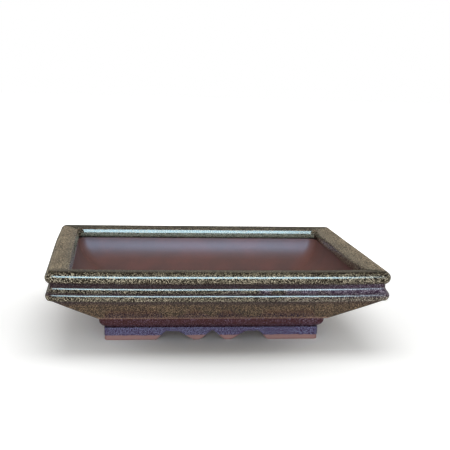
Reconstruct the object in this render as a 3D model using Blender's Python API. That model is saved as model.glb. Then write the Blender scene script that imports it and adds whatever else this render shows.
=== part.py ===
"""Rectangular glazed bonsai pot with a flanged rim, a belly moulding, flared walls and scalloped feet.

The pot is slab built: strips and slabs of clay are cut, mitred at the four corners and luted
together with slip before the firing. Each strip or slab is one object here, and SEAM is the
thickness of the slip joint between two of them.

Sizes are in millimetres and become metres where the meshes are made. +X runs along the long
side, -Y is the front, +Z is up, and the origin is under the middle of the pot, on the table.
A profile point is (inset, height, radius): inset is the distance inwards from the rim's
outermost face, and radius is how far that point is rounded in plan at the pot's corners.
"""

import math

import bmesh
import bpy

MM = 0.001

# Driving dimensions
LENGTH = 254.0
WIDTH = 203.2
HEIGHT = 63.5
SEAM = 0.3

# Rim strip: a flange with a round outer edge, dished a little towards its inner lip
RIM_THICKNESS = 9.4
RIM_DISH = 0.7
RIM_LIP_INSET = 16.2
RIM_NOSE_INSET = 18.9
RIM_CORNER = 5.0
TIGHT_CORNER = 2.0

# Belly band: the second moulding, below the groove
GROOVE_INSET = 3.6
GROOVE_Z = 51.7
BAND_INSET = 0.3
BAND_WIDEST_Z = 45.6
BAND_ROUND = 4.8
BAND_TURN = 52
BAND_BACK_INSET = 9.0

# Flared wall below the band
WALL_TOP_INSET = 3.7
WALL_TOP_Z = 41.6
WALL_FOOT_INSET = 37.4
WALL_FOOT_Z = 18.8
WALL_THICKNESS = 8.0
WALL_INNER_INSET = 17.0
WALL_COVE = 22.0
WALL_INNER_CORNER = 9.0

# Floor slab
FLOOR_TOP_Z = 25.5
FLOOR_CORNER = 8.0
DRAIN_DIAMETER = 18.0
DRAIN_X = 42.0
WIRE_HOLE_DIAMETER = 5.0
WIRE_HOLE_X = 62.0
WIRE_HOLE_Y = 34.0

# Plinth moulding between the walls and the foot rails
PLINTH_INSET = 39.4
PLINTH_INNER_INSET = 54.0
PLINTH_ROUND = 6.2
PLINTH_STEP = 0.9

# Foot rails, with arches cut between the feet
FOOT_INSET = 43.4
FOOT_THICKNESS = 7.5
FOOT_HEIGHT = 10.1
FOOT_CHAMFER = 0.8
LONG_CORNER_FOOT = 39.6
SHORT_CORNER_FOOT = 36.0
ARCH_RISE = 6.8
NOTCH_RISE = 7.4
TOE_OUTER = 14.3
TOE_INNER = 10.2
SHORT_TOE = 2.0
STEEP_RUN = 7.5
GENTLE_RUN = 12.8
SHORT_GENTLE_RUN = 10.0
RAMP_EASE = 0.25

CORNER_STEPS = 3
SIDES = ("front", "right", "back", "left")

GLAZE = ("tea_dust_glaze", (0.16, 0.125, 0.08), 0.25)
FOOT_GLAZE = ("blue_violet_glaze", (0.09, 0.08, 0.17), 0.3)
BARE_CLAY = ("bare_clay", (0.19, 0.095, 0.075), 0.65)


def arc(centre_inset, centre_z, radius, start, end, steps):
    """Points on an arc, angles in degrees: 90 is up, 180 is outwards and 270 is down."""
    points = []
    for step in range(steps + 1):
        angle = math.radians(start + (end - start) * step / steps)
        points.append((centre_inset + radius * math.cos(angle), centre_z + radius * math.sin(angle)))
    return points


def rounded(points, radius):
    """Gives profile points one corner radius in plan."""
    return [(inset, z, radius) for inset, z in points]


def outer_corner(points):
    """Gives outside points the rim's corner, which gets tighter with the inset."""
    return [(inset, z, max(RIM_CORNER - inset, TIGHT_CORNER)) for inset, z in points]


def rim_profile():
    half = RIM_THICKNESS / 2
    bottom = HEIGHT - RIM_THICKNESS
    nose = 3.4
    edge = 1.5
    return [
        *outer_corner(arc(half, HEIGHT - half, half, 90, 270, 8)),
        *rounded(arc(RIM_NOSE_INSET - nose, bottom + nose, nose, 270, 375, 5), 3.0),
        *rounded(arc(RIM_LIP_INSET - edge, HEIGHT - RIM_DISH - edge, edge, 10, 85, 3), 1.5),
    ]


def band_profile():
    """An S curve from the groove out to the widest point, then rounding under to the flared wall."""
    top = HEIGHT - RIM_THICKNESS - SEAM
    bottom = WALL_TOP_Z + SEAM
    curve = []
    for step in range(9):
        t = step / 8
        reach = t * t * (3 - 2 * t)
        inset = GROOVE_INSET + (BAND_INSET - GROOVE_INSET) * reach
        curve.append((inset, GROOVE_Z + (BAND_WIDEST_Z - GROOVE_Z) * t))
    under = arc(BAND_INSET + BAND_ROUND, BAND_WIDEST_Z, BAND_ROUND, 180, 180 + BAND_TURN, 4)[1:]
    outside = [(GROOVE_INSET, top), *curve, *under, (WALL_TOP_INSET - 0.4, bottom)]
    inside = [(BAND_BACK_INSET, bottom), (BAND_BACK_INSET, top)]
    return outer_corner(outside) + rounded(inside, TIGHT_CORNER)


def wall_profile():
    """A slab that stands behind the band and then flares in, down to the floor slab's edge."""
    top = HEIGHT - RIM_THICKNESS - SEAM
    run = WALL_FOOT_INSET - WALL_TOP_INSET
    drop = WALL_TOP_Z - WALL_FOOT_Z
    slope_angle = math.atan2(drop, run)
    # Inner face of the flared part: the outer face moved in by the thickness
    face_inset = WALL_TOP_INSET + WALL_THICKNESS * math.sin(slope_angle)
    face_z = WALL_TOP_Z + WALL_THICKNESS * math.cos(slope_angle)

    def inner_z(inset):
        return face_z - (inset - face_inset) * drop / run

    toe_inset = face_inset + (face_z - FLOOR_TOP_Z) * run / drop
    turn = math.pi / 2 - slope_angle
    bend_z = inner_z(WALL_INNER_INSET)
    cove_centre = (WALL_INNER_INSET + WALL_COVE, bend_z + WALL_COVE * math.tan(turn / 2))
    cove_end = 180 + math.degrees(turn)
    return [
        (BAND_BACK_INSET + SEAM, top, TIGHT_CORNER),
        (BAND_BACK_INSET + SEAM, WALL_TOP_Z, TIGHT_CORNER),
        (WALL_TOP_INSET, WALL_TOP_Z, TIGHT_CORNER),
        (WALL_FOOT_INSET - 0.8, WALL_FOOT_Z + 0.6, TIGHT_CORNER),
        (WALL_FOOT_INSET + 0.2, WALL_FOOT_Z, TIGHT_CORNER),
        (toe_inset, WALL_FOOT_Z, FLOOR_CORNER),
        (toe_inset, FLOOR_TOP_Z, FLOOR_CORNER),
        *rounded(reversed(arc(*cove_centre, WALL_COVE, 180, cove_end, 5)), WALL_INNER_CORNER),
        (WALL_INNER_INSET, top, WALL_INNER_CORNER),
    ], toe_inset


def plinth_profile():
    top = WALL_FOOT_Z - SEAM
    bottom = FOOT_HEIGHT + SEAM
    step_z = bottom + PLINTH_STEP
    ovolo = arc(PLINTH_INSET + PLINTH_ROUND, step_z + PLINTH_ROUND, PLINTH_ROUND, 180, 262, 5)
    inside = [(PLINTH_INNER_INSET, bottom), (PLINTH_INNER_INSET, top)]
    outline = [(PLINTH_INSET, top), *ovolo, (PLINTH_INSET + PLINTH_ROUND, bottom), *inside]
    return rounded(outline, 2.4)


def foot_profile():
    inner = FOOT_INSET + FOOT_THICKNESS
    outline = [
        (FOOT_INSET, FOOT_HEIGHT),
        (FOOT_INSET, FOOT_CHAMFER),
        (FOOT_INSET + FOOT_CHAMFER, 0.0),
        (inner - FOOT_CHAMFER, 0.0),
        (inner, FOOT_CHAMFER),
        (inner, FOOT_HEIGHT),
    ]
    return rounded(outline, 2.0)


def mitred_strip(name, profile, side):
    """A moulding along one side of the pot, lofted to the mitre planes at both of its corners."""
    turn = SIDES.index(side)
    half_side, half_across = (LENGTH / 2, WIDTH / 2) if turn % 2 == 0 else (WIDTH / 2, LENGTH / 2)
    mitre_end = half_side - SEAM / math.sqrt(2)
    angles = [math.radians(45) * step / CORNER_STEPS for step in range(CORNER_STEPS + 1)]
    stations = [(-1, angle) for angle in reversed(angles)] + [(1, angle) for angle in angles]
    mesh = bmesh.new()
    rings = []
    for direction, angle in stations:
        ring = []
        for inset, z, radius in profile:
            along = mitre_end - inset - radius + radius * math.sin(angle)
            out = half_across - inset - radius + radius * math.cos(angle)
            ring.append(mesh.verts.new((direction * along * MM, -out * MM, z * MM)))
        rings.append(ring)
    for near, far in zip(rings, rings[1:]):
        for k in range(len(profile)):
            after = (k + 1) % len(profile)
            mesh.faces.new((near[k], near[after], far[after], far[k]))
    mesh.faces.new(rings[0])
    mesh.faces.new(rings[-1])
    strip = finished(name, mesh)
    strip.rotation_euler.z = turn * math.pi / 2
    return strip


def prism(mesh, outline, axis, low, high):
    """Extrudes a flat outline along an axis: outline points are (x, y) for axis z, else (side, z)."""
    place = {
        "x": lambda a, b, c: (c, a, b),
        "y": lambda a, b, c: (a, c, b),
        "z": lambda a, b, c: (a, b, c),
    }[axis]
    base = [mesh.verts.new([MM * value for value in place(a, b, low)]) for a, b in outline]
    grown = bmesh.ops.extrude_face_region(mesh, geom=[mesh.faces.new(base)])
    moved = [part for part in grown["geom"] if isinstance(part, bmesh.types.BMVert)]
    bmesh.ops.translate(mesh, verts=moved, vec=[MM * value for value in place(0, 0, high - low)])


def finished(name, mesh):
    """Turns a bmesh into a named object in the scene, smooth where its faces meet gently."""
    bmesh.ops.recalc_face_normals(mesh, faces=mesh.faces)
    data = bpy.data.meshes.new(name)
    mesh.to_mesh(data)
    mesh.free()
    data.shade_smooth()
    data.set_sharp_from_angle(angle=math.radians(35))
    return bpy.data.objects.new(name, data)


def rectangle(half_x, half_y, radius, steps=4):
    """Outline of a rectangle with round corners."""
    outline = []
    for corner, (sx, sy) in enumerate(((1, 1), (-1, 1), (-1, -1), (1, -1))):
        centre = (sx * (half_x - radius), sy * (half_y - radius))
        outline += arc(*centre, radius, corner * 90, corner * 90 + 90, steps)
    return outline


def ramp(start, end, rise, steps=6):
    """The edge of an arch, from the table at start up to its crown at end, eased at both ends."""
    points = []
    for step in range(steps + 1):
        t = step / steps
        height = rise * (t - RAMP_EASE * math.sin(2 * math.pi * t) / (2 * math.pi))
        points.append((start + (end - start) * t, height))
    return points


def arch(left, right, left_run, right_run, rise):
    """Outline of one cut-out between two feet, carried on below the table."""
    below = -2.0
    up = ramp(left, left + left_run, rise)
    down = list(reversed(ramp(right, right - right_run, rise)))
    if math.isclose(left + left_run, right - right_run):
        down = down[1:]
    return [(left, below), *up, *down, (right, below)]


def long_arches():
    """Arches of the front and back rails: one each side of the two small toes and a notch between."""
    reach = LENGTH / 2 - FOOT_INSET - LONG_CORNER_FOOT
    return [
        arch(-reach, -TOE_OUTER, STEEP_RUN, GENTLE_RUN, ARCH_RISE),
        arch(-TOE_INNER, TOE_INNER, TOE_INNER, TOE_INNER, NOTCH_RISE),
        arch(TOE_OUTER, reach, GENTLE_RUN, STEEP_RUN, ARCH_RISE),
    ]


def short_arches():
    """Arches of the end rails: one each side of a single small toe."""
    reach = WIDTH / 2 - FOOT_INSET - SHORT_CORNER_FOOT
    return [
        arch(-reach, -SHORT_TOE, STEEP_RUN, SHORT_GENTLE_RUN, ARCH_RISE),
        arch(SHORT_TOE, reach, SHORT_GENTLE_RUN, STEEP_RUN, ARCH_RISE),
    ]


def cutter(name, collection, add_shapes):
    mesh = bmesh.new()
    add_shapes(mesh)
    tool = finished(name, mesh)
    tool.hide_render = True
    tool.display_type = "WIRE"
    collection.objects.link(tool)
    return tool


def arch_cutter(name, collection, arches, axis, reach):
    def add_shapes(mesh):
        for outline in arches:
            prism(mesh, outline, axis, -reach, reach)

    return cutter(name, collection, add_shapes)


def hole_cutter(collection):
    """Round drains and tie-wire holes, as cylinders that run past both faces of the floor."""

    def add_shapes(mesh):
        depth = FLOOR_TOP_Z - WALL_FOOT_Z
        drains = [(sx * DRAIN_X, 0.0, DRAIN_DIAMETER, 32) for sx in (-1, 1)]
        wires = [
            (sx * WIRE_HOLE_X, sy * WIRE_HOLE_Y, WIRE_HOLE_DIAMETER, 16) for sx in (-1, 1) for sy in (-1, 1)
        ]
        for x, y, diameter, sides in drains + wires:
            made = bmesh.ops.create_cone(
                mesh, cap_ends=True, segments=sides, radius1=diameter / 2 * MM,
                radius2=diameter / 2 * MM, depth=3 * depth * MM,
            )
            middle = (x * MM, y * MM, (WALL_FOOT_Z + depth / 2) * MM)
            bmesh.ops.translate(mesh, verts=made["verts"], vec=middle)

    return cutter("floor_hole_cutter", collection, add_shapes)


def cut(target, tool):
    boolean = target.modifiers.new("cut_" + tool.name, "BOOLEAN")
    boolean.operation = "DIFFERENCE"
    boolean.solver = "EXACT"
    boolean.object = tool


def material(name, colour, roughness):
    made = bpy.data.materials.new(name)
    made.use_nodes = True
    shader = made.node_tree.nodes["Principled BSDF"]
    shader.inputs["Base Color"].default_value = (*colour, 1.0)
    shader.inputs["Roughness"].default_value = roughness
    shader.inputs["Metallic"].default_value = 0.0
    made.diffuse_color = (*colour, 1.0)
    return made


def floor_slab(toe_inset):
    edge = toe_inset + SEAM
    mesh = bmesh.new()
    outline = rectangle(LENGTH / 2 - edge, WIDTH / 2 - edge, FLOOR_CORNER)
    prism(mesh, outline, "z", WALL_FOOT_Z, FLOOR_TOP_Z)
    return finished("floor_slab", mesh)


def main():
    for old in list(bpy.data.objects):
        bpy.data.objects.remove(old)
    pot = bpy.data.collections.new("bonsai_pot")
    tools = bpy.data.collections.new("cutters")
    for collection in (pot, tools):
        bpy.context.scene.collection.children.link(collection)
    glaze, foot_glaze, clay = (material(*facts) for facts in (GLAZE, FOOT_GLAZE, BARE_CLAY))

    def add(piece, finish):
        piece.data.materials.append(finish)
        pot.objects.link(piece)
        return piece

    long_tool = arch_cutter("long_arch_cutter", tools, long_arches(), "y", WIDTH)
    short_tool = arch_cutter("short_arch_cutter", tools, short_arches(), "x", LENGTH)
    wall, toe_inset = wall_profile()
    for side in SIDES:
        add(mitred_strip(f"rim_{side}", rim_profile(), side), glaze)
        add(mitred_strip(f"belly_band_{side}", band_profile(), side), glaze)
        add(mitred_strip(f"wall_{side}", wall, side), glaze)
        add(mitred_strip(f"plinth_{side}", plinth_profile(), side), foot_glaze)
        rail = add(mitred_strip(f"foot_rail_{side}", foot_profile(), side), foot_glaze)
        cut(rail, long_tool if side in ("front", "back") else short_tool)
    cut(add(floor_slab(toe_inset), clay), hole_cutter(tools))


main()
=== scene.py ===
"""The looks of a rectangular glazed bonsai pot: every CAD node gets a fine, slightly hand-worked piece.

Each strip of the pot is a profile swept along one side between the mitre planes. Profile points are
(inset, height, corner radius) in millimetres, with inset measured inwards from the rim's outermost
face. Neighbouring strips share their positions and normals at the mitres, so the fired glaze runs on
without a seam.
"""

import math

import bpy
import numpy as np
from mathutils import Matrix, Vector


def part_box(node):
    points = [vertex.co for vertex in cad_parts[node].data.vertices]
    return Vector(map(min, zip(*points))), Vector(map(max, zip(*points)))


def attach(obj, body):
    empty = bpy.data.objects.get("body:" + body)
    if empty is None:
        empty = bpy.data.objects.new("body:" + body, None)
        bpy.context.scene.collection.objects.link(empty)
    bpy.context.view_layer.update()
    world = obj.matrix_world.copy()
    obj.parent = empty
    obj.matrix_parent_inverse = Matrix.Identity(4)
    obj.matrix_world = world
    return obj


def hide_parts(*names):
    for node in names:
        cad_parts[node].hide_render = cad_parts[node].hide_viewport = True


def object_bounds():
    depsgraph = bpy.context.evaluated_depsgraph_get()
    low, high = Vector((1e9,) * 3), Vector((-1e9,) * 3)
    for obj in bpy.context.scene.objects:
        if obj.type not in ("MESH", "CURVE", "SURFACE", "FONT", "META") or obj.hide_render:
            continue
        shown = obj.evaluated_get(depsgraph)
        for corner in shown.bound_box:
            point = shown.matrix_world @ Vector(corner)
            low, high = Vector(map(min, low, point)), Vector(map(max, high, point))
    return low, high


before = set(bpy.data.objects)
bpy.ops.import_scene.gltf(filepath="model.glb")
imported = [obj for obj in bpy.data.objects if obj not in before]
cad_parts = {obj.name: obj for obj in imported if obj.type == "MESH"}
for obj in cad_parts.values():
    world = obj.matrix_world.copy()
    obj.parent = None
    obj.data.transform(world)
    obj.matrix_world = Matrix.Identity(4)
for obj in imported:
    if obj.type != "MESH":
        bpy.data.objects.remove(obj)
cad_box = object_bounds()

MM = 0.001
LENGTH, WIDTH, HEIGHT = ((cad_box[1] - cad_box[0]) / MM)[:]
SIDES = ("front", "right", "back", "left")


def level(node, top):
    """Height in millimetres of a CAD node's highest or lowest face."""
    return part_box(node)[1 if top else 0].z / MM


RIM_BOTTOM = level("rim_front", False)
WALL_BOTTOM = level("wall_front", False)
FLOOR_TOP = level("floor_slab", True)
FOOT_TOP = level("foot_rail_front", True)

CORNER_STEPS = 8
STATION_SPACING = 1.4
FINE_STATION_SPACING = 0.6
PROFILE_SPACING = 0.6
FINE_PROFILE_SPACING = 0.45
CREASE = 0.05

# ---------------------------------------------------------------- profiles

RIM_CORNER = 5.0
TIGHT_CORNER = 2.0
RIM_HALF = (HEIGHT - RIM_BOTTOM) / 2
LIP_INSET, LIP_DISH, LIP_ROUND, LIP_CORNER = 16.2, 0.9, 1.6, 4.5
NOSE_INSET, NOSE_ROUND, NOSE_CORNER = 19.0, 4.2, 5.5
GROOVE_INSET, GROOVE_Z = 3.6, 51.7
BAND_INSET, BAND_Z, BAND_RADIUS, BAND_TURN = 0.3, 45.6, 4.8, 52
BAND_BACK = 9.0
SLOPE_TOP = (3.7, 41.6)
SLOPE_FOOT, SLOPE_EDGE = (37.4, WALL_BOTTOM), 1.0
WALL_THICKNESS, WALL_INNER_INSET, WALL_COVE, INNER_CORNER = 8.0, 17.0, 22.0, 9.0
FLOOR_COVE, FLOOR_EDGE_INSET = 12.0, 48.0
PLINTH_INSET, PLINTH_ROUND, PLINTH_TURN, PLINTH_STEP = 39.4, 6.2, 82, 0.9
PLINTH_BACK, PLINTH_CORNER = 54.0, 2.4
FOOT_INSET, FOOT_THICKNESS, FOOT_EDGE, FOOT_CORNER = 43.4, 7.5, 1.0, 2.0
GLAZE_LINE, GLAZE_COAT = 3.9, 0.35


def arc(centre, radius, start, end):
    """Points on an arc in a profile, angles in degrees: 0 is inwards, 90 up, 180 outwards."""
    length = radius * math.radians(abs(end - start))
    angles = np.radians(np.linspace(start, end, max(6, math.ceil(length / PROFILE_SPACING)) + 1))
    return [(centre[0] + radius * math.cos(a), centre[1] + radius * math.sin(a)) for a in angles]


def eased(start, end, steps=16):
    """An S curve between two profile points, upright at both of its ends."""
    points = []
    for t in np.linspace(0, 1, steps + 1):
        s = t * t * (3 - 2 * t)
        points.append((start[0] + (end[0] - start[0]) * s, start[1] + (end[1] - start[1]) * t))
    return points


def fillet(before, corner, after, radius):
    """Rounds one corner of a profile."""
    before, corner, after = (np.array(p[:2], float) for p in (before, corner, after))
    u = (before - corner) / np.linalg.norm(before - corner)
    v = (after - corner) / np.linalg.norm(after - corner)
    half = math.acos(float(u @ v)) / 2
    reach = radius / math.tan(half)
    centre = corner + (u + v) / np.linalg.norm(u + v) * radius / math.sin(half)
    a, b = corner + u * reach - centre, corner + v * reach - centre
    turn = math.acos(float(a @ b / radius**2))
    steps = max(5, math.ceil(radius * turn / PROFILE_SPACING))
    return [
        tuple(centre + (math.sin((1 - t) * turn) * a + math.sin(t * turn) * b) / math.sin(turn))
        for t in np.linspace(0, 1, steps + 1)
    ]


def rounded(points, radius):
    """Gives profile points one corner radius in plan."""
    return [(*p[:2], radius) for p in points]


def outside(points):
    """Gives outside points the rim's corner, which gets tighter with the inset."""
    return [(*p[:2], max(RIM_CORNER - p[0], TIGHT_CORNER)) for p in points]


def dense(points, spacing=PROFILE_SPACING):
    """A closed profile with points at most a spacing apart, and close to both ends of a straight run."""
    result = []
    for here, there in zip(points, points[1:] + points[:1]):
        gap = math.dist(here[:2], there[:2])
        count = math.ceil(gap / spacing - 1e-6)
        shares = [k / count for k in range(count)]
        if count > 1:
            shares = [0.0, CREASE / gap, *shares[1:], 1 - CREASE / gap]
        result += [[a + (b - a) * t for a, b in zip(here, there)] for t in shares]
    return np.array(result)


def rim_profile():
    lip = (LIP_INSET, HEIGHT - LIP_DISH)
    nose = (NOSE_INSET, RIM_BOTTOM)
    return dense([
        *outside(arc((RIM_HALF, HEIGHT - RIM_HALF), RIM_HALF, 90, 270)),
        *rounded(fillet((RIM_HALF, RIM_BOTTOM), nose, lip, NOSE_ROUND), NOSE_CORNER),
        *rounded(fillet(nose, lip, (RIM_HALF, HEIGHT), LIP_ROUND), LIP_CORNER),
    ])


def band_profile():
    bulge = (BAND_INSET, BAND_Z)
    return dense([
        *outside([(GROOVE_INSET, RIM_BOTTOM), *reversed(eased(bulge, (GROOVE_INSET, GROOVE_Z)))]),
        *outside(arc((BAND_INSET + BAND_RADIUS, BAND_Z), BAND_RADIUS, 180, 180 + BAND_TURN)[1:]),
        *outside([SLOPE_TOP, (BAND_BACK, SLOPE_TOP[1]), (BAND_BACK, RIM_BOTTOM)]),
    ])


def wall_profile():
    run, drop = SLOPE_FOOT[0] - SLOPE_TOP[0], SLOPE_TOP[1] - SLOPE_FOOT[1]
    angle = math.atan2(drop, run)
    face_inset = SLOPE_TOP[0] + WALL_THICKNESS * math.sin(angle)
    face_z = SLOPE_TOP[1] + WALL_THICKNESS * math.cos(angle)
    bend = (WALL_INNER_INSET, face_z - (WALL_INNER_INSET - face_inset) * drop / run)
    toe = (face_inset + (face_z - FLOOR_TOP) * run / drop, FLOOR_TOP)
    edge = (FLOOR_EDGE_INSET, FLOOR_TOP)
    under = (FLOOR_EDGE_INSET, WALL_BOTTOM)
    top = (WALL_INNER_INSET, RIM_BOTTOM)
    return dense([
        *outside([(BAND_BACK, RIM_BOTTOM), (BAND_BACK, SLOPE_TOP[1]), SLOPE_TOP]),
        *outside(fillet(SLOPE_TOP, SLOPE_FOOT, under, SLOPE_EDGE)),
        *rounded([under, edge, *fillet(edge, toe, bend, FLOOR_COVE)], INNER_CORNER),
        *rounded([*fillet(toe, bend, top, WALL_COVE), top], INNER_CORNER),
    ])


def plinth_profile():
    step = FOOT_TOP + PLINTH_STEP
    centre = (PLINTH_INSET + PLINTH_ROUND, step + PLINTH_ROUND)
    return dense(rounded([
        (PLINTH_INSET, WALL_BOTTOM),
        *arc(centre, PLINTH_ROUND, 180, 180 + PLINTH_TURN),
        (PLINTH_INSET + PLINTH_ROUND, FOOT_TOP),
        (PLINTH_BACK, FOOT_TOP),
        (PLINTH_BACK, WALL_BOTTOM),
    ], PLINTH_CORNER))


def foot_profile():
    """The rail, whose face steps back by the glaze's thickness where the glaze ends in a rounded edge."""
    back = FOOT_INSET + FOOT_THICKNESS
    bare = FOOT_INSET + GLAZE_COAT
    return dense(rounded([
        (FOOT_INSET, FOOT_TOP),
        (FOOT_INSET, GLAZE_LINE + 0.9),
        (FOOT_INSET + 0.02, GLAZE_LINE + 0.4),
        (FOOT_INSET + 0.14, GLAZE_LINE + 0.1),
        (bare, GLAZE_LINE),
        *fillet((bare, FOOT_TOP), (bare, 0), (back, 0), FOOT_EDGE),
        *fillet((bare, 0), (back, 0), (back, FOOT_TOP), FOOT_EDGE),
        (back, FOOT_TOP),
    ], FOOT_CORNER), FINE_PROFILE_SPACING)


# ---------------------------------------------------------------- arches between the feet

LONG_CORNER_FOOT, SHORT_CORNER_FOOT = 39.6, 36.0
ARCH_RISE, NOTCH_RISE = 6.8, 7.4
TOE_OUTER, TOE_INNER, SHORT_TOE = 14.3, 10.2, 2.0
STEEP_RUN, GENTLE_RUN, SHORT_GENTLE_RUN = 7.5, 12.8, 10.0
RAMP_EASE = 0.25


def ramp(along, start, end, rise):
    """Height of the rail's edge, from the table at start up to the arch's crown at end."""
    t = np.clip((along - start) / (end - start), 0, 1)
    return rise * (t - RAMP_EASE * np.sin(2 * math.pi * t) / (2 * math.pi))


def arch(along, low, high, low_run, high_run, rise):
    """Height of the rail's edge across one cut-out between two feet."""
    return np.minimum(ramp(along, low, low + low_run, rise), ramp(along, high, high - high_run, rise))


def long_edge(along):
    """Height of the front and back rails' lower edge: two arches either side of a notch."""
    reach = LENGTH / 2 - FOOT_INSET - LONG_CORNER_FOOT
    away = np.abs(along)
    side = arch(away, TOE_OUTER, reach, GENTLE_RUN, STEEP_RUN, ARCH_RISE)
    notch = arch(along, -TOE_INNER, TOE_INNER, TOE_INNER, TOE_INNER, NOTCH_RISE)
    return np.maximum(side, notch)


def short_edge(along):
    """Height of the end rails' lower edge: one arch either side of a single toe."""
    reach = WIDTH / 2 - FOOT_INSET - SHORT_CORNER_FOOT
    return arch(np.abs(along), SHORT_TOE, reach, SHORT_GENTLE_RUN, STEEP_RUN, ARCH_RISE)


def foot_heights(edge, along, z):
    """Lifts a foot rail's lower part to the arch's edge, and keeps its round-over."""
    lift = edge(along)
    stacked = lift + FOOT_EDGE + 0.03 * (z - FOOT_EDGE)
    return np.where(z <= FOOT_EDGE, z + lift, np.maximum(z, np.minimum(stacked, FOOT_TOP)))


# ---------------------------------------------------------------- hand-worked shape

SAG_HEIGHTS = (0.0, 10.0, 18.0, 42.0, 50.0, 55.0, 64.0)
SAG_DEPTHS = (0.0, 0.0, 0.2, 0.8, 1.1, 1.0, 0.9)
WANDER = 0.1
SAG_WEIGHTS = {"front": 1.0, "right": 0.0, "back": 0.0, "left": 1.0}
FLANGE_SPREAD = {"front": 0.0, "right": 2.3, "back": 0.0, "left": 0.0}
LIP_LEAN = {"front": 0.0, "right": -1.7, "back": 0.0, "left": 2.0}
SPREAD_FROM, SPREAD_OVER = 6.0, 10.0
LEAN_FROM, LEAN_OVER = 15.0, 4.0
FOOT_SHIFT = -1.0
PRESS_DEPTH, PRESS_REACH = 1.8, 42.0


def waves(points, sizes, amplitude, seed):
    """A smooth wandering value for each point, from a few sine waves in random directions."""
    random = np.random.default_rng(seed)
    total = np.zeros(len(points))
    for size in sizes:
        direction = random.normal(size=3)
        direction /= np.linalg.norm(direction)
        total += np.sin(points @ direction * 2 * math.pi / size + random.uniform(0, 2 * math.pi))
    return amplitude * total / len(sizes)


def sagged(points, half_side, weight):
    """The strip sags a little between its corners."""
    share = np.clip(points[:, 0] / half_side, -1, 1)
    depth = np.interp(points[:, 2], SAG_HEIGHTS, SAG_DEPTHS) * weight
    moved = points.copy()
    moved[:, 2] -= depth * (1 - share**4)
    return moved


def inner_shift(profile, side):
    """How far the rim's flange and lip reach inwards mid-side; the band's hidden back follows them."""
    inset, height = profile[:, 0], profile[:, 1]
    wide = FLANGE_SPREAD[side] * np.clip((inset - SPREAD_FROM) / SPREAD_OVER, 0, 1)
    lower = np.clip((HEIGHT - LIP_DISH - height) / LEAN_OVER, 0, 1)
    return wide + LIP_LEAN[side] * np.clip((inset - LEAN_FROM) / LEAN_OVER, 0, 1) * lower


def wander(points):
    """Presses the back left corner in, and moves points up to 0.2 mm along each axis, inwards and down."""
    inwards_x = WANDER + waves(points, (31, 47, 68, 90), WANDER, 4)
    inwards_y = WANDER + waves(points, (29, 43, 71, 95), WANDER, 9)
    down = WANDER + waves(points, (33, 52, 77, 99), WANDER, 2)
    moved = points.copy()
    pressed = np.exp(-((points - (-LENGTH / 2, WIDTH / 2, HEIGHT)) ** 2).sum(axis=1) / PRESS_REACH**2)
    moved[:, 0] += PRESS_DEPTH * pressed
    moved[:, 0] -= inwards_x * np.clip(points[:, 0] / 60, -1, 1)
    moved[:, 1] -= inwards_y * np.clip(points[:, 1] / 50, -1, 1)
    moved[:, 2] -= down * np.clip((points[:, 2] - FLOOR_TOP - 2) / 12, 0, 1)
    return moved


# ---------------------------------------------------------------- sweeping a profile along one side


def stations(half_side, spacing):
    """Places along a strip as (share of the straight part, corner angle), one step past each mitre."""
    count = math.ceil(2 * half_side / spacing)
    angles = np.radians(np.arange(1, CORNER_STEPS + 2) * 45 / CORNER_STEPS)
    before = [(-1.0, -a) for a in reversed(angles)]
    after = [(1.0, a) for a in angles]
    return before + [(share, 0.0) for share in np.linspace(-1, 1, count + 1)] + after


def sweep(profile, side, spacing, shift, sag=1.0, edge=None):
    """Grid of points, stations by profile points, in the pot's frame in millimetres."""
    turn = SIDES.index(side)
    half_side, half_across = (LENGTH / 2, WIDTH / 2) if turn % 2 == 0 else (WIDTH / 2, LENGTH / 2)
    inset, height, radius = profile.T
    rows = []
    for share, angle in stations(half_side, spacing):
        along = (half_side - inset - radius) * share + radius * math.sin(angle)
        out = half_across - inset - radius + radius * math.cos(angle)
        out = out - shift * (1 - abs(share) ** 6)
        z = height if edge is None else foot_heights(edge, along, height)
        rows.append(np.stack([along, -out, z], axis=1))
    grid = np.array(rows)
    weight = np.broadcast_to(sag * SAG_WEIGHTS[side], grid.shape[:2]).reshape(-1)
    flat = sagged(grid.reshape(-1, 3), half_side, weight)
    c, s = ((1, 0), (0, 1), (-1, 0), (0, -1))[turn]
    turned = np.stack([c * flat[:, 0] - s * flat[:, 1], s * flat[:, 0] + c * flat[:, 1], flat[:, 2]], axis=1)
    return wander(turned).reshape(grid.shape)


def grid_normals(grid):
    """Smooth outward normals of a grid whose profile direction closes on itself."""
    along = np.gradient(grid, axis=0)
    around = np.roll(grid, -1, axis=1) - np.roll(grid, 1, axis=1)
    normals = np.cross(around, along)
    return normals / np.maximum(np.linalg.norm(normals, axis=2, keepdims=True), 1e-12)


BEND_REACH, BEND_LOW, BEND_SPAN = 1.0, 0.25, 0.6


def bend(profile):
    """How sharply each point of a closed profile turns outwards, 0 to 1."""
    points = profile[:, :2]
    back, ahead = points - np.roll(points, 1, axis=0), np.roll(points, -1, axis=0) - points
    cross = back[:, 0] * ahead[:, 1] - back[:, 1] * ahead[:, 0]
    turning = np.arctan2(cross, (back * ahead).sum(axis=1))
    turning *= np.sign(turning.sum())
    steps = np.linalg.norm(ahead, axis=1)
    place = np.cumsum(steps) - steps
    gap = np.abs(place[:, None] - place[None, :])
    gap = np.minimum(gap, steps.sum() - gap)
    spread = np.exp(-((gap / BEND_REACH) ** 2)) / math.sqrt(math.pi)
    return np.clip((spread @ np.maximum(turning, 0) - BEND_LOW) / BEND_SPAN, 0, 1)


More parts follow.
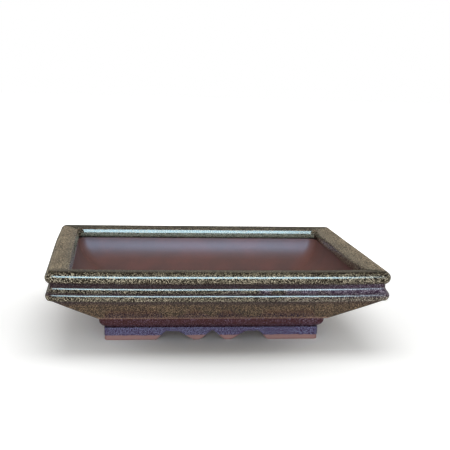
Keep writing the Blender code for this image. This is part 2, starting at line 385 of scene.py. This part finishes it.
def thin_glaze(name, profile):
    """Where the glaze has drawn thin: along the rim's lip and the wall's lower edge, 0 to 1."""
    inset, height = profile[:, 0], profile[:, 1]
    if name == "rim":
        return bend(profile) * (inset > 12)
    if name == "wall":
        return np.exp(-(((height - WALL_BOTTOM) / 1.7) ** 2)) * (inset < 39)
    return np.zeros(len(profile))


def pooled_glaze_and_painted_shade(name, profile):
    """How dark the glaze is made: thick in the groove, painted shade under the band and in its middle, 0 to
    1.
    """
    inset, height = profile[:, 0], profile[:, 1]
    groove = np.exp(-(((height - GROOVE_Z - 1.7) / 2.6) ** 2)) * (inset < 9)
    # painted shadow on the wall's top, under the band's overhang
    painted_shadow_under_band = 0.8 * np.exp(-(((height - SLOPE_TOP[1]) / 5.0) ** 2)) * (name == "wall")
    # painted shade in the band's middle, between its two highlights
    band = 0.7 * np.exp(-(((height - BAND_Z - 1.6) / 1.8) ** 2)) * (name == "belly_band")
    return np.maximum(groove, np.maximum(painted_shadow_under_band, band))


def painted_lip_light(name, side, profile):
    """Where the back lip's lower edge is painted pale, a painted light standing in for what its lower
    rounding reflects, 0 to 1.
    """
    inset, height = profile[:, 0], profile[:, 1]
    if (name, side) != ("rim", "back"):
        return np.zeros(len(profile))
    return np.clip((inset - 15) / 2, 0, 1) * np.clip((RIM_BOTTOM + 5.6 - height) / 2, 0, 1)


def flange_top(name, profile):
    """The rim's flat top, 0 to 1."""
    return np.clip((profile[:, 1] - HEIGHT + 1.5) / 1.2, 0, 1) * (name == "rim")


def strip_mesh(name, grid, values):
    """A closed mesh from a swept grid, with its normals and a few values for each profile point."""
    normals = grid_normals(grid)[1:-1]
    grid = grid[1:-1]
    count, ring = grid.shape[:2]
    index = np.arange(count * ring).reshape(count, ring)
    after = np.roll(index, -1, axis=1)
    quads = np.stack([index[:-1], after[:-1], after[1:], index[1:]], axis=-1).reshape(-1, 4)
    mesh = bpy.data.meshes.new(name)
    points = (grid.reshape(-1, 3) * MM).tolist()
    mitres = [index[0][::-1].tolist(), index[-1].tolist()]
    mesh.from_pydata(points, [], quads.tolist() + mitres)
    mesh.shade_smooth()
    caps = []
    for end, inner in ((0, 1), (-1, -2)):
        away = (grid[end] - grid[inner]).mean(axis=0)
        caps.append(np.tile(away / np.linalg.norm(away), (ring, 1)))
    sides = normals.reshape(-1, 3)[quads.reshape(-1)]
    mesh.normals_split_custom_set(np.concatenate([sides, *caps]).tolist())
    for label, value in values.items():
        attribute = mesh.attributes.new(label, "FLOAT", "POINT")
        attribute.data.foreach_set("value", np.tile(value, count).astype(np.float32))
    return mesh


# ---------------------------------------------------------------- materials

# places of a Mix node's sockets, which share their names between its data types
COLOUR_A, COLOUR_B, COLOUR_MIXED = 6, 7, 2
NUMBER_A, NUMBER_B, NUMBER_MIXED = 2, 3, 0


class Nodes:
    """Builds one procedural material, in the pot's own coordinates."""

    def __init__(self, name):
        self.material = bpy.data.materials.new(name)
        self.material.use_nodes = True
        self.tree = self.material.node_tree
        self.shader = self.tree.nodes["Principled BSDF"]
        self.place = self.tree.nodes.new("ShaderNodeTexCoord").outputs["Object"]

    def put(self, socket, value):
        if isinstance(value, bpy.types.NodeSocket):
            self.tree.links.new(value, socket)
        elif isinstance(value, tuple) and len(value) == 3 and socket.type == "RGBA":
            socket.default_value = (*value, 1.0)
        else:
            socket.default_value = value

    def noise(self, size_mm, detail=2.0, roughness=0.5):
        node = self.tree.nodes.new("ShaderNodeTexNoise")
        self.put(node.inputs["Vector"], self.place)
        self.put(node.inputs["Scale"], 1000.0 / size_mm)
        self.put(node.inputs["Detail"], detail)
        self.put(node.inputs["Roughness"], roughness)
        return node.outputs["Fac"]

    def cells(self, size_mm):
        node = self.tree.nodes.new("ShaderNodeTexVoronoi")
        self.put(node.inputs["Vector"], self.place)
        self.put(node.inputs["Scale"], 1000.0 / size_mm)
        return node.outputs["Distance"]

    def step(self, value, low, high, start=0.0, end=1.0):
        node = self.tree.nodes.new("ShaderNodeMapRange")
        node.interpolation_type = "SMOOTHSTEP"
        for socket, given in zip(node.inputs, (value, low, high, start, end)):
            self.put(socket, given)
        return node.outputs["Result"]

    def math(self, operation, a, b=0.0):
        node = self.tree.nodes.new("ShaderNodeMath")
        node.operation = operation
        self.put(node.inputs[0], a)
        self.put(node.inputs[1], b)
        return node.outputs["Value"]

    def mix(self, share, a, b):
        node = self.tree.nodes.new("ShaderNodeMix")
        node.data_type = "RGBA"
        self.put(node.inputs["Factor"], share)
        self.put(node.inputs[COLOUR_A], a)
        self.put(node.inputs[COLOUR_B], b)
        return node.outputs[COLOUR_MIXED]

    def value(self, label):
        node = self.tree.nodes.new("ShaderNodeAttribute")
        node.attribute_name = label
        return node.outputs["Fac"]

    def axis(self, letter):
        node = self.tree.nodes.new("ShaderNodeSeparateXYZ")
        self.put(node.inputs["Vector"], self.place)
        return node.outputs[letter]

    def bump(self, height, depth_mm):
        node = self.tree.nodes.new("ShaderNodeBump")
        self.put(node.inputs["Strength"], 1.0)
        self.put(node.inputs["Distance"], depth_mm * MM)
        self.put(node.inputs["Height"], height)
        return node.outputs["Normal"]

    def finish(self, colour, roughness, normal):
        self.put(self.shader.inputs["Base Color"], colour)
        self.put(self.shader.inputs["Roughness"], roughness)
        self.put(self.shader.inputs["Normal"], normal)
        return self.material


CLAY_RED, CLAY_BROWN, CLAY_PALE = (0.200, 0.082, 0.060), (0.148, 0.073, 0.054), (0.28, 0.16, 0.13)
FOOT_RED, FOOT_BROWN = (0.250, 0.132, 0.125), (0.228, 0.122, 0.116)
GROG = (0.06, 0.035, 0.03)


def clay_layers(nodes, red=CLAY_RED, brown=CLAY_BROWN, rough=0.49):
    """Colour, roughness and height of unglazed clay: mottled, with fine grog in it."""
    cloud = nodes.noise(28, 3.0, 0.55)
    grain = nodes.noise(0.55, 3.0, 0.7)
    grog = nodes.step(nodes.noise(1.1, 1.0), 0.64, 0.74)
    colour = nodes.mix(nodes.step(cloud, 0.35, 0.65), brown, red)
    colour = nodes.mix(nodes.step(grain, 0.3, 0.75, 0.0, 0.25), colour, CLAY_PALE)
    colour = nodes.mix(nodes.math("MULTIPLY", grog, 0.3), colour, GROG)
    roughness = nodes.step(grain, 0.3, 0.7, rough - 0.05, rough + 0.05)
    return colour, roughness, grain


# dark colour of the groove's thick glaze, also painted as shade under the band and in its middle
POOL_AND_SHADE_COLOUR = (0.022, 0.010, 0.015)
LAVENDER = (0.42, 0.36, 0.50)
# pale speckled painted light for the back lip's lower edge, over a dark green ground
LIP_LIGHT, LIP_LIGHT_GROUND = (0.44, 0.50, 0.42), (0.045, 0.055, 0.04)
CRYSTAL_LOW, CRYSTAL_HIGH, CRYSTAL_GAIN = 0.587, 0.622, 0.16
GLASSY_ROUGH, FLANGE_ROUGH, CRYSTAL_ROUGH = 0.11, 0.36, 0.45


def glaze_layers(nodes, ground, fleck, edge, size, share, tint=None, dust=None):
    """Colour, roughness and height of a dark glossy glaze full of pale matt crystals.

    The crystals' size is in millimetres, and a higher share gives more of them. A tint adds violet
    patches, more of them to the right. The last argument is a paler crystal colour painted on the end
    flanges' tops, which also get more crystals while the long flanges' tops get fewer: painted light and
    painted shade for their reflections.
    """
    spread = nodes.math("MULTIPLY", nodes.cells(1.5 * size), -0.09)
    spots = nodes.math("ADD", nodes.noise(size, 2.0, 0.6), spread)
    cloud = nodes.noise(24, 3.0, 0.6)
    shifted = nodes.math("ADD", spots, nodes.step(cloud, 0.25, 0.75, 0.07, 0.03))
    # painted light: more crystals on the end flanges' tops, fewer on the long flanges' tops
    if dust:
        dusty = dusty_flange(nodes)
        shifted = nodes.math("ADD", shifted, nodes.math("MULTIPLY", dusty, 0.05))
    gain = CRYSTAL_GAIN * share
    crystal = nodes.step(shifted, CRYSTAL_LOW - gain, CRYSTAL_HIGH - gain)
    colour = nodes.mix(nodes.step(cloud, 0.3, 0.7), ground, tuple(1.3 * c for c in ground))
    if tint:
        drift = nodes.step(nodes.axis("X"), -0.04, 0.11, -0.12, 0.2)
        patches = nodes.step(nodes.math("ADD", nodes.noise(17, 2.0), drift), 0.45, 0.7, 0.0, 0.85)
        upper = nodes.step(nodes.axis("Z"), 0.0435, 0.0475, 0.15, 1.0)
        violet = nodes.math("MULTIPLY", patches, upper)
        colour = nodes.mix(violet, colour, tint)
        fleck = nodes.mix(violet, fleck, LAVENDER)
    # on the end flanges' tops the crystals take the paler painted-light colour
    colour = nodes.mix(crystal, colour, nodes.mix(dusty, fleck, dust) if dust else fleck)
    # darkens the groove's thick glaze, and paints shade under the band and in its middle, less to the right
    pool_and_shade_share = nodes.step(nodes.value("pool_and_shade"), 0.1, 0.8, 0.0, 0.92)
    pool_and_shade_share = nodes.math("MULTIPLY", pool_and_shade_share, nodes.step(nodes.axis("X"), 0.05, 0.11, 1.0, 0.55))
    colour = nodes.mix(pool_and_shade_share, colour, POOL_AND_SHADE_COLOUR)
    worn = nodes.step(spots, 0.3, 0.5, 0.25, 0.9)
    colour = nodes.mix(nodes.math("MULTIPLY", nodes.value("thin"), worn), colour, edge)
    # painted light: the back lip's lower edge is painted pale and speckled
    lit_lip = nodes.mix(nodes.step(spots, 0.40, 0.50), LIP_LIGHT_GROUND, LIP_LIGHT)
    colour = nodes.mix(nodes.value("lip_light"), colour, lit_lip)
    glassy = nodes.step(nodes.value("flange"), 0.0, 1.0, GLASSY_ROUGH, FLANGE_ROUGH)
    roughness = nodes.step(crystal, 0.0, 1.0, glassy, CRYSTAL_ROUGH)
    return colour, roughness, spots


def dusty_flange(nodes):
    """Painted light and shade on the flange tops, for their reflections: 1 on the end flanges' tops, which
    get more and paler crystals, -0.6 on the long ones', which get fewer, and 0 elsewhere.
    """
    across = [nodes.math("ABSOLUTE", nodes.axis(letter)) for letter in "XY"]
    past_mitre = nodes.math("SUBTRACT", *across)
    mitre = (LENGTH - WIDTH) / 2 * MM
    more = nodes.step(past_mitre, mitre - 0.004, mitre + 0.006, -0.6, 1.0)
    return nodes.math("MULTIPLY", nodes.value("flange"), more)


def blend_layers(nodes, share, first, second):
    """Mixes two sets of layers: colour, roughness and height."""
    colour = nodes.mix(share, first[0], second[0])
    rest = []
    for a, b in zip(first[1:], second[1:]):
        node = nodes.tree.nodes.new("ShaderNodeMix")
        nodes.put(node.inputs["Factor"], share)
        nodes.put(node.inputs[NUMBER_A], a)
        nodes.put(node.inputs[NUMBER_B], b)
        rest.append(node.outputs[NUMBER_MIXED])
    return colour, *rest


LINE_WAVE, LINE_BLUR = 0.25, 0.1


def glazed_material(name, bump_mm, line_mm=None, specular=0.5, **glaze):
    """Glaze, with clay where the mesh's bare value says so and below a glaze line, if one is given."""
    nodes = Nodes(name)
    nodes.put(nodes.shader.inputs["Specular IOR Level"], specular)
    coat = glaze_layers(nodes, **glaze)
    clay = clay_layers(nodes)
    bare = nodes.value("bare")
    if line_mm:
        wave = nodes.step(nodes.noise(5.0, 2.0), 0.3, 0.7, -LINE_WAVE * MM, LINE_WAVE * MM)
        wavy = nodes.math("ADD", nodes.axis("Z"), wave)
        under = nodes.step(wavy, (line_mm - LINE_BLUR) * MM, (line_mm + LINE_BLUR) * MM, 1.0, 0.0)
        bare = nodes.math("MAXIMUM", bare, under)
        clay = clay_layers(nodes, FOOT_RED, FOOT_BROWN)
    colour, roughness, height = blend_layers(nodes, bare, coat, clay)
    return nodes.finish(colour, roughness, nodes.bump(height, bump_mm))


def clay_material(name, bump_mm, specular, rough):
    """Unglazed clay with a satin surface, which reflects the window a little blue."""
    nodes = Nodes(name)
    nodes.put(nodes.shader.inputs["Specular IOR Level"], specular)
    nodes.put(nodes.shader.inputs["Specular Tint"], (0.78, 0.78, 1.0))
    colour, roughness, height = clay_layers(nodes, rough=rough)
    return nodes.finish(colour, roughness, nodes.bump(height, bump_mm))


TEA_DUST = dict(ground=(0.011, 0.008, 0.005), fleck=(0.53, 0.475, 0.345), edge=(0.22, 0.15, 0.105))
BROWN_DUST = dict(ground=(0.020, 0.011, 0.006), fleck=(0.42, 0.27, 0.145), edge=(0.42, 0.27, 0.20))
VIOLET = dict(ground=(0.034, 0.019, 0.048), fleck=(0.150, 0.160, 0.31), edge=(0.08, 0.035, 0.05))
PLUM = dict(ground=(0.040, 0.0135, 0.015), fleck=(0.12, 0.065, 0.10), edge=(0.09, 0.04, 0.06))

# paler crystal colour painted on the end flanges' tops, a painted light
LIT_FLANGE_FLECK = (0.64, 0.53, 0.375)
BAND_TINT, PLINTH_TINT = (0.036, 0.018, 0.046), (0.032, 0.013, 0.050)
GLOSSY_BUMP, FLANGE_BUMP, CLAY_BUMP = 0.012, 0.04, 0.12

rim_glaze = glazed_material("rim_glaze", GLOSSY_BUMP, size=0.62, share=0.16, dust=LIT_FLANGE_FLECK, **TEA_DUST)
flange_glaze = glazed_material(
    "flange_glaze", FLANGE_BUMP, specular=0.22, size=0.95, share=0.16, dust=LIT_FLANGE_FLECK, **TEA_DUST
)
band_glaze = glazed_material("band_glaze", GLOSSY_BUMP, size=0.62, share=0.16, tint=BAND_TINT, **TEA_DUST)
wall_glaze = glazed_material("wall_glaze", GLOSSY_BUMP, size=0.8, share=0.07, **BROWN_DUST)
plinth_glaze = glazed_material("plinth_glaze", GLOSSY_BUMP, size=0.65, share=0.12, tint=PLINTH_TINT, **PLUM)
foot_glaze = glazed_material("foot_glaze", GLOSSY_BUMP, line_mm=GLAZE_LINE, size=0.7, share=0.44, **VIOLET)
inner_clay = clay_material("inner_clay", CLAY_BUMP, specular=1.0, rough=0.54)

# ---------------------------------------------------------------- the pieces


PLINTH_BARE_FROM, FOOT_BARE_SHARE = 48.0, 0.6


def place(name, mesh, material, slot):
    """Puts a finished mesh in place of a CAD node."""
    piece = bpy.data.objects.new(f"{name}_surface", mesh)
    bpy.context.scene.collection.objects.link(piece)
    mesh.materials.append(material)
    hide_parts(name)
    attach(piece, "root")


def strip(
    name, side, profile, material, slot, bare, spacing=STATION_SPACING, sag=1.0, edge=None, second=None
):
    """Makes one strip. A second material, given with its mask, covers the faces between masked points."""
    shift = inner_shift(profile, side) if name in ("rim", "belly_band") else 0.0
    grid = sweep(profile, side, spacing, shift, sag, edge)
    if name in ("plinth", "foot_rail"):
        grid[..., 0] += FOOT_SHIFT
    values = {
        "thin": thin_glaze(name, profile),
        "bare": bare.astype(float),
        "pool_and_shade": pooled_glaze_and_painted_shade(name, profile),
        "lip_light": painted_lip_light(name, side, profile),
        "flange": flange_top(name, profile),
    }
    mesh = strip_mesh(f"{name}_{side}", grid, values)
    place(f"{name}_{side}", mesh, material, slot)
    if second:
        mesh.materials.append(second[0])
        faces = np.append(np.tile(second[1] & np.roll(second[1], -1), len(grid) - 3), [False, False])
        mesh.polygons.foreach_set("material_index", faces.astype(np.int32))


def nowhere(profile):
    """A mask with no point of the profile in it."""
    return np.zeros(len(profile), bool)


def strips():
    """Makes the five kinds of strip on all four sides."""
    rim, band, wall = rim_profile(), band_profile(), wall_profile()
    plinth, foot = plinth_profile(), foot_profile()
    inner_wall = np.zeros(len(wall), bool)
    inner_wall[int(np.argmax(wall[:, 0])):] = True
    wall_sag = np.where(inner_wall, np.clip((wall[:, 1] - 30) / 15, 0, 1), 1.0)
    matt = flange_top("rim", rim) > 0.5
    inner_plinth = plinth[:, 0] > PLINTH_BARE_FROM
    inner_foot = foot[:, 0] > FOOT_INSET + FOOT_BARE_SHARE * FOOT_THICKNESS
    tea, violet, fine = "tea_dust_glaze", "blue_violet_glaze", FINE_STATION_SPACING
    for side in SIDES:
        edge = long_edge if side in ("front", "back") else short_edge
        strip("rim", side, rim, rim_glaze, tea, nowhere(rim), second=(flange_glaze, matt))
        strip("belly_band", side, band, band_glaze, tea, nowhere(band))
        strip("wall", side, wall, wall_glaze, tea, inner_wall, sag=wall_sag, second=(inner_clay, inner_wall))
        strip("plinth", side, plinth, plinth_glaze, violet, inner_plinth)
        strip("foot_rail", side, foot, foot_glaze, violet, inner_foot, fine, edge=edge)


DRAIN_X, DRAIN_RADIUS = 42.0, 9.0
WIRE_X, WIRE_Y, WIRE_RADIUS = 62.0, 34.0, 2.5
HOLE_EDGE = 0.8


def outline(curve, points):
    spline = curve.splines.new("POLY")
    spline.points.add(len(points) - 1)
    spline.points.foreach_set("co", np.array([(x * MM, y * MM, 0, 1) for x, y in points]).ravel())
    spline.use_cyclic_u = True


def floor_slab():
    """The floor, cut from a flat outline, with worn edges round its drain and tie-wire holes."""
    curve = bpy.data.curves.new("floor_slab_outline", "CURVE")
    curve.dimensions = "2D"
    curve.fill_mode = "BOTH"
    half_x, half_y = LENGTH / 2 - FLOOR_EDGE_INSET, WIDTH / 2 - FLOOR_EDGE_INSET
    corners = []
    for k, (sx, sy) in enumerate(((1, 1), (-1, 1), (-1, -1), (1, -1))):
        centre = (sx * (half_x - INNER_CORNER), sy * (half_y - INNER_CORNER))
        corners += arc(centre, INNER_CORNER, 90 * k, 90 * k + 90)
    outline(curve, corners)
    drains = [(s * DRAIN_X, 0.0, DRAIN_RADIUS) for s in (-1, 1)]
    wires = [(sx * WIRE_X, sy * WIRE_Y, WIRE_RADIUS) for sx in (-1, 1) for sy in (-1, 1)]
    for x, y, radius in drains + wires:
        outline(curve, arc((x, y), radius + HOLE_EDGE, 0, 360)[:-1])
    thickness = FLOOR_TOP - WALL_BOTTOM
    curve.extrude = (thickness / 2 - HOLE_EDGE) * MM
    curve.bevel_depth = HOLE_EDGE * MM
    curve.bevel_resolution = 3
    made = bpy.data.objects.new("floor_slab_outline", curve)
    bpy.context.scene.collection.objects.link(made)
    mesh = bpy.data.meshes.new_from_object(made.evaluated_get(bpy.context.evaluated_depsgraph_get()))
    bpy.data.objects.remove(made)
    mesh.transform(Matrix.Translation((0, 0, (FLOOR_TOP - thickness / 2 - 0.06) * MM)))
    mesh.materials.clear()
    mesh.shade_smooth()
    mesh.set_sharp_from_angle(angle=math.radians(35))
    place("floor_slab", mesh, inner_clay, "bare_clay")


strips()
floor_slab()

# ---------------------------------------------------------------- stage, light and camera


def stage_floor():
    mesh = bpy.data.meshes.new("studio_floor")
    half = 6.0
    corners = [(-half, -half, 0), (half, -half, 0), (half, half, 0), (-half, half, 0)]
    mesh.from_pydata(corners, [], [(0, 1, 2, 3)])
    floor = bpy.data.objects.new("studio_floor", mesh)
    bpy.context.scene.collection.objects.link(floor)
    nodes = Nodes("studio_floor")
    nodes.put(nodes.shader.inputs["Base Color"], (0.82, 0.84, 0.86))
    nodes.put(nodes.shader.inputs["Roughness"], 0.9)
    nodes.put(nodes.shader.inputs["Emission Color"], (1.0, 1.0, 1.0))
    length = nodes.tree.nodes.new("ShaderNodeVectorMath")
    length.operation = "LENGTH"
    nodes.put(length.inputs[0], nodes.place)
    # painted light: the floor glows, not at all close to the pot and more and more outwards to 0.45 m,
    # brightening it outside the pot's shadow
    painted_glow_inner = nodes.step(length.outputs["Value"], 0.05, 0.2, 0.0, 0.5)
    painted_glow_outer = nodes.step(length.outputs["Value"], 0.18, 0.45, 0.0, 0.5)
    nodes.put(nodes.shader.inputs["Emission Strength"], nodes.math("ADD", painted_glow_inner, painted_glow_outer))
    mesh.materials.append(nodes.material)
    floor.visible_glossy = False


def softbox(name, azimuth, elevation, distance, width, height, strength, colour):
    """A rectangular light facing the pot: azimuth 0 is in front, and positive is to the right."""
    a, e = math.radians(azimuth), math.radians(elevation)
    away = Vector((math.sin(a) * math.cos(e), -math.cos(a) * math.cos(e), math.sin(e)))
    light = bpy.data.lights.new(name, "AREA")
    light.shape = "RECTANGLE"
    light.size, light.size_y = width, height
    light.energy = strength * math.pi * width * height
    light.color = colour
    lamp = bpy.data.objects.new(name, light)
    lamp.location = away * distance
    lamp.rotation_mode = "QUATERNION"
    lamp.rotation_quaternion = away.to_track_quat("Z", "Y")
    bpy.context.scene.collection.objects.link(lamp)
    return lamp


def lights():
    window = softbox("window_front", 5.4, 26, 1.25, 0.58, 0.54, 21.5, (0.61, 0.88, 1.0))
    window.visible_diffuse = False
    fill = softbox("front_fill", -8, 6, 2.0, 2.0, 0.5, 9.5, (1.0, 0.98, 0.96))
    fill.visible_glossy = False
    overhead = softbox("overhead", 0, 88, 1.8, 1.6, 1.2, 2.5, (1.0, 0.985, 0.96))
    overhead.visible_glossy = False
    softbox("window_back", 180, 13, 2.0, 2.4, 0.3, 0.36, (1.0, 0.94, 0.82))
    softbox("side_left", -100, 28, 1.8, 1.0, 0.5, 2.0, (0.95, 0.98, 1.0))
    softbox("side_right", 100, 28, 1.8, 1.0, 0.5, 2.0, (1.0, 0.98, 0.95))
    world = bpy.data.worlds.new("studio")
    world.use_nodes = True
    tree = world.node_tree
    background = tree.nodes["Background"]
    path = tree.nodes.new("ShaderNodeLightPath")
    seen = tree.nodes.new("ShaderNodeMix")
    seen.data_type = "RGBA"
    seen.inputs[COLOUR_A].default_value = (0.175, 0.163, 0.145, 1.0)
    seen.inputs[COLOUR_B].default_value = (1.0, 1.0, 1.0, 1.0)
    tree.links.new(path.outputs["Is Camera Ray"], seen.inputs["Factor"])
    tree.links.new(seen.outputs[COLOUR_MIXED], background.inputs["Color"])
    bpy.context.scene.world = world
    bpy.context.scene.view_settings.view_transform = "Standard"


CAMERA_PLACE = Vector((-0.0813, -0.7437, 0.2072))
CAMERA_YAW, CAMERA_PITCH, CAMERA_ROLL = (math.radians(a) for a in (7.28, 9.56, -1.70))
CAMERA_LENS = 73.4


def camera():
    ahead = Vector((
        math.sin(CAMERA_YAW) * math.cos(CAMERA_PITCH),
        math.cos(CAMERA_YAW) * math.cos(CAMERA_PITCH),
        -math.sin(CAMERA_PITCH),
    ))
    right = Vector((math.cos(CAMERA_YAW), -math.sin(CAMERA_YAW), 0))
    down = ahead.cross(right)
    tilted_right = right * math.cos(CAMERA_ROLL) + down * math.sin(CAMERA_ROLL)
    tilted_down = down * math.cos(CAMERA_ROLL) - right * math.sin(CAMERA_ROLL)
    data = bpy.data.cameras.new("camera")
    data.sensor_width = 36
    data.lens = CAMERA_LENS
    eye = bpy.data.objects.new("camera", data)
    turn = Matrix((tilted_right, -tilted_down, -ahead)).transposed().to_4x4()
    eye.matrix_world = Matrix.Translation(CAMERA_PLACE) @ turn
    bpy.context.scene.collection.objects.link(eye)
    bpy.context.scene.camera = eye


stage_floor()
lights()
camera()
